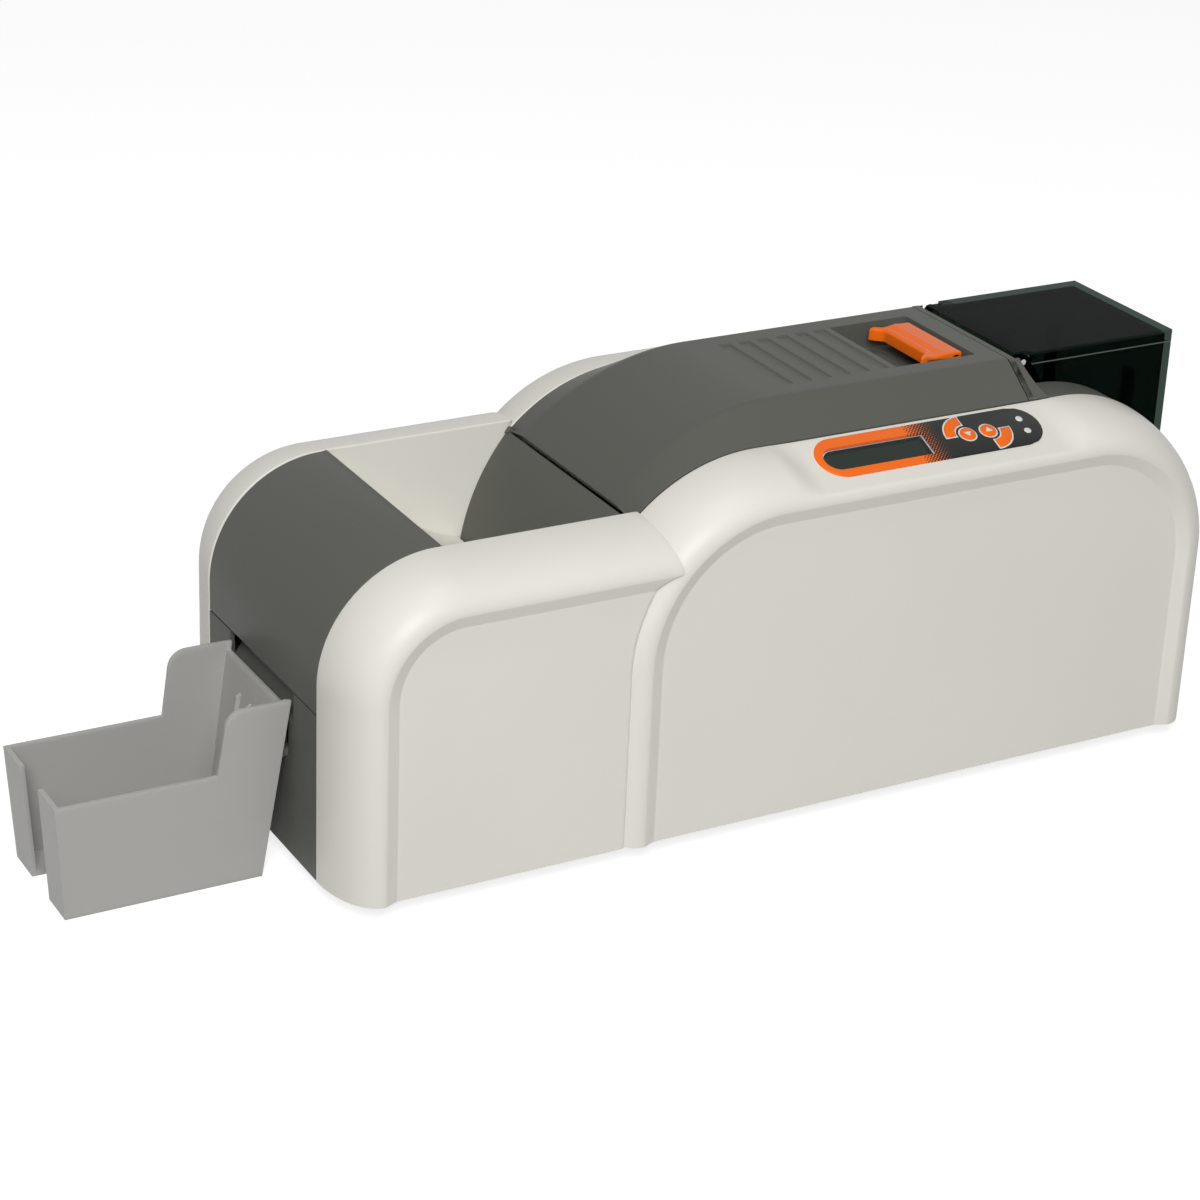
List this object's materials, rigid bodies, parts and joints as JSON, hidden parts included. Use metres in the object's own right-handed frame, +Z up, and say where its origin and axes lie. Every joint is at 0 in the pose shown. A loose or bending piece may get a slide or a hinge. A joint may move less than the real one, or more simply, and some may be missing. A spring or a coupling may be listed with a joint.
{
  "type": "card printer",
  "caption": "Desktop printer for plastic cards with a hinged top cover, a smoked feed hopper, a card flipper and a hook-on output bin.",
  "frame": {"origin": "centre of the footprint at table level", "axes": "+X from the output bin to the hopper, -Y towards the side with the control panel, +Z up"},
  "size_m": [0.5806, 0.1912, 0.1989],
  "materials": {
    "shell_white": "satin",
    "cover_grey": "satin",
    "bin_grey": "satin",
    "smoke_clear": "smoked clear",
    "lever_orange": "satin",
    "panel_black": "gloss",
    "silver": "satin",
    "display_dark": "gloss",
    "light_white": "gloss",
    "steel": "brushed",
    "rubber_dark": "matte",
    "black_plastic": "matte",
    "board_green": "satin",
    "cleaner_blue": "tacky",
    "ribbon": "film"
  },
  "bodies": {
    "printer": {"main_shell_near": "shell_white", "main_shell_far": "shell_white", "flipper_shell_near": "shell_white", "flipper_shell_far": "shell_white", "hinge_pins": "steel", "flipper_housing": "cover_grey", "flipper_trough": "shell_white", "flipper_motor": "black_plastic", "flipper_belt": "rubber_dark", "base_tray": "cover_grey", "front_arch": "cover_grey", "rear_frame": "cover_grey", "latch_catch": "steel", "hopper_body": "smoke_clear", "hopper_lid_pins": "steel", "chassis_plate_near": "steel", "chassis_plate_far": "steel", "cross_rods": "steel", "ribbon_cartridge": "bin_grey", "ribbon_web": "ribbon", "drive_belt": "rubber_dark", "motor_belt": "rubber_dark", "drive_motor": "black_plastic", "main_board": "board_green", "control_board": "board_green", "control_panel": "panel_black", "display_frame": "silver", "display": "display_dark", "status_lights": "light_white", "power_inlet": "black_plastic", "data_socket": "steel", "rubber_feet": "rubber_dark", "case_screws": "steel"},
    "top_cover": {"top_cover": "cover_grey", "latch_lever_pin": "steel", "print_head": "steel", "head_bracket": "steel"},
    "flipper_cover": {"flipper_cover": "cover_grey"},
    "flipper_cradle": {"flipper_cradle": "black_plastic"},
    "cradle_roller": {"cradle_roller": "rubber_dark"},
    "latch_lever": {"latch_lever": "lever_orange"},
    "hopper_lid": {"hopper_lid": "smoke_clear"},
    "card_weight": {"card_weight": "black_plastic"},
    "platen_roller": {"platen_roller": "rubber_dark"},
    "infeed_roller": {"infeed_roller": "rubber_dark"},
    "feed_roller": {"feed_roller": "rubber_dark"},
    "exit_roller": {"exit_roller": "rubber_dark"},
    "cleaning_roller": {"cleaning_roller": "cleaner_blue"},
    "feed_pinch": {"feed_pinch": "steel"},
    "exit_pinch": {"exit_pinch": "steel"},
    "pick_roller": {"pick_roller": "rubber_dark"},
    "motor_pulley": {"motor_pulley": "steel"},
    "supply_spool": {"supply_spool": "ribbon"},
    "takeup_spool": {"takeup_spool": "ribbon"},
    "button_escape": {"button_escape": "lever_orange"},
    "button_down": {"button_down": "lever_orange"},
    "button_up": {"button_up": "lever_orange"},
    "button_enter": {"button_enter": "lever_orange"},
    "power_switch": {"power_switch": "black_plastic"},
    "output_bin": {"output_bin": "bin_grey"}
  },
  "joints": [
    {"name": "cover_hinge", "type": "hinge", "parent": "printer", "child": "top_cover", "pos_m": [-0.0183, 0, 0.15908], "axis": [0, -1, 0], "range_deg": [0, 80]},
    {"name": "latch_turn", "type": "hinge", "parent": "top_cover", "child": "latch_lever", "pos_m": [0.17305, 0, 0.1935], "axis": [0, 1, 0], "range_deg": [0, 25], "stiffness_Nm_per_rad": 0.05, "springref_deg": -22.92},
    {"name": "hopper_lid_hinge", "type": "hinge", "parent": "printer", "child": "hopper_lid", "pos_m": [0.20055, 0, 0.1943], "axis": [0, -1, 0], "range_deg": [0, 95]},
    {"name": "flipper_cover_hinge", "type": "hinge", "parent": "printer", "child": "flipper_cover", "pos_m": [-0.12425, 0, 0.1586], "axis": [0, 1, 0], "range_deg": [0, 80]},
    {"name": "card_weight_lift", "type": "slide", "parent": "printer", "child": "card_weight", "axis": [0, 0, 1], "range_m": [0, 0.07]},
    {"name": "bin_lift", "type": "slide", "parent": "printer", "child": "output_bin", "axis": [0, 0, 1], "range_m": [0, 0.012]},
    {"name": "press_escape", "type": "slide", "parent": "printer", "child": "button_escape", "axis": [0, 0.3746, -0.9272], "range_m": [0, 0.0006], "stiffness_N_per_m": 300, "springref_m": -0.001},
    {"name": "press_down", "type": "slide", "parent": "printer", "child": "button_down", "axis": [0, 0.3746, -0.9272], "range_m": [0, 0.0006], "stiffness_N_per_m": 300, "springref_m": -0.001},
    {"name": "press_up", "type": "slide", "parent": "printer", "child": "button_up", "axis": [0, 0.3746, -0.9272], "range_m": [0, 0.0006], "stiffness_N_per_m": 300, "springref_m": -0.001},
    {"name": "press_enter", "type": "slide", "parent": "printer", "child": "button_enter", "axis": [0, 0.3746, -0.9272], "range_m": [0, 0.0006], "stiffness_N_per_m": 300, "springref_m": -0.001},
    {"name": "switch_rock", "type": "hinge", "parent": "printer", "child": "power_switch", "pos_m": [0.28765, -0.032, 0.044], "axis": [0, 0, 1], "range_deg": [-7, 7]},
    {"name": "infeed_turn", "type": "hinge", "parent": "printer", "child": "infeed_roller", "pos_m": [0.17555, 0, 0.0835], "axis": [0, 1, 0], "continuous": true},
    {"name": "feed_turn", "type": "hinge", "parent": "printer", "child": "feed_roller", "pos_m": [0.11555, 0, 0.0835], "axis": [0, 1, 0], "continuous": true},
    {"name": "platen_turn", "type": "hinge", "parent": "printer", "child": "platen_roller", "pos_m": [0.06555, 0, 0.0835], "axis": [0, 1, 0], "continuous": true},
    {"name": "exit_turn", "type": "hinge", "parent": "printer", "child": "exit_roller", "pos_m": [0.01055, 0, 0.0835], "axis": [0, 1, 0], "continuous": true},
    {"name": "motor_turn", "type": "hinge", "parent": "printer", "child": "motor_pulley", "pos_m": [0.14055, 0, 0.048], "axis": [0, 1, 0], "continuous": true},
    {"name": "cleaning_turn", "type": "hinge", "parent": "printer", "child": "cleaning_roller", "pos_m": [0.17555, 0, 0.098], "axis": [0, 1, 0], "continuous": true},
    {"name": "feed_pinch_turn", "type": "hinge", "parent": "printer", "child": "feed_pinch", "pos_m": [0.11555, 0, 0.095], "axis": [0, 1, 0], "continuous": true},
    {"name": "exit_pinch_turn", "type": "hinge", "parent": "printer", "child": "exit_pinch", "pos_m": [0.01055, 0, 0.095], "axis": [0, 1, 0], "continuous": true},
    {"name": "pick_turn", "type": "hinge", "parent": "printer", "child": "pick_roller", "pos_m": [0.23605, 0, 0.0813], "axis": [0, 1, 0], "continuous": true},
    {"name": "supply_turn", "type": "hinge", "parent": "printer", "child": "supply_spool", "pos_m": [0.11055, 0, 0.125], "axis": [0, 1, 0], "continuous": true},
    {"name": "takeup_turn", "type": "hinge", "parent": "printer", "child": "takeup_spool", "pos_m": [0.02255, 0, 0.125], "axis": [0, 1, 0], "continuous": true},
    {"name": "cradle_turn", "type": "hinge", "parent": "printer", "child": "flipper_cradle", "pos_m": [-0.12345, 0, 0.09], "axis": [0, 1, 0], "continuous": true},
    {"name": "cradle_roller_turn", "type": "hinge", "parent": "flipper_cradle", "child": "cradle_roller", "pos_m": [-0.12345, 0, 0.0837], "axis": [0, 1, 0], "continuous": true}
  ],
  "couplings": [
    {"joint": "feed_turn", "follows": "infeed_turn", "ratio": 1},
    {"joint": "platen_turn", "follows": "infeed_turn", "ratio": 1},
    {"joint": "exit_turn", "follows": "infeed_turn", "ratio": 1},
    {"joint": "motor_turn", "follows": "infeed_turn", "ratio": 1},
    {"joint": "cleaning_turn", "follows": "infeed_turn", "ratio": -0.8125},
    {"joint": "feed_pinch_turn", "follows": "infeed_turn", "ratio": -1.3},
    {"joint": "exit_pinch_turn", "follows": "infeed_turn", "ratio": -1.3},
    {"joint": "takeup_turn", "follows": "supply_turn", "ratio": 1.3333}
  ]
}
